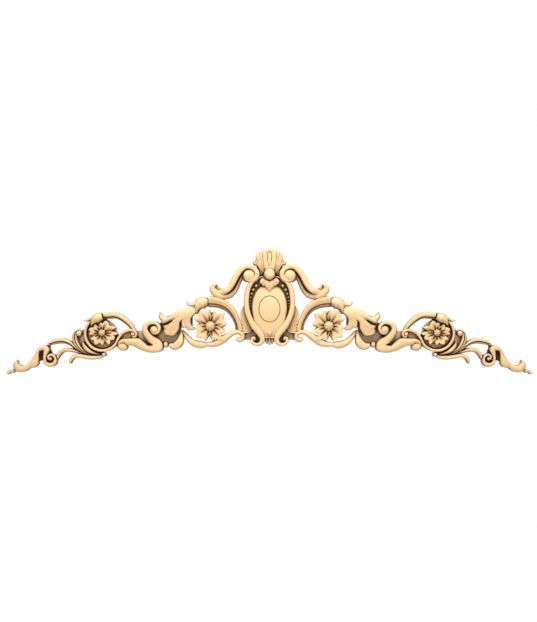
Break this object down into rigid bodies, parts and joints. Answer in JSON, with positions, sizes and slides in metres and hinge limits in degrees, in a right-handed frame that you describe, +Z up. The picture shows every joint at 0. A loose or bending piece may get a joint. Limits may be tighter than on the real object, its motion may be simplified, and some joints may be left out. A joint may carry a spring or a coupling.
{
  "type": "floral decorative panel",
  "caption": "Carved wooden pediment panel with a central shield and shell crown, scrolls, acanthus leaves and flowers that taper to beaded tips, flat on the back.",
  "frame": {"origin": "on the flat back, behind the middle of the oval medallion", "axes": "+X along the panel's length, +Y out of the flat back into the wall, +Z up"},
  "size_m": [1.0016, 0.03, 0.2408],
  "materials": {
    "carved_wood": "smooth carved pale wood, light honey on the crowns and dark brown in the deep cuts"
  },
  "bodies": {
    "root": {"floral_panel": "carved_wood"}
  },
  "joints": []
}
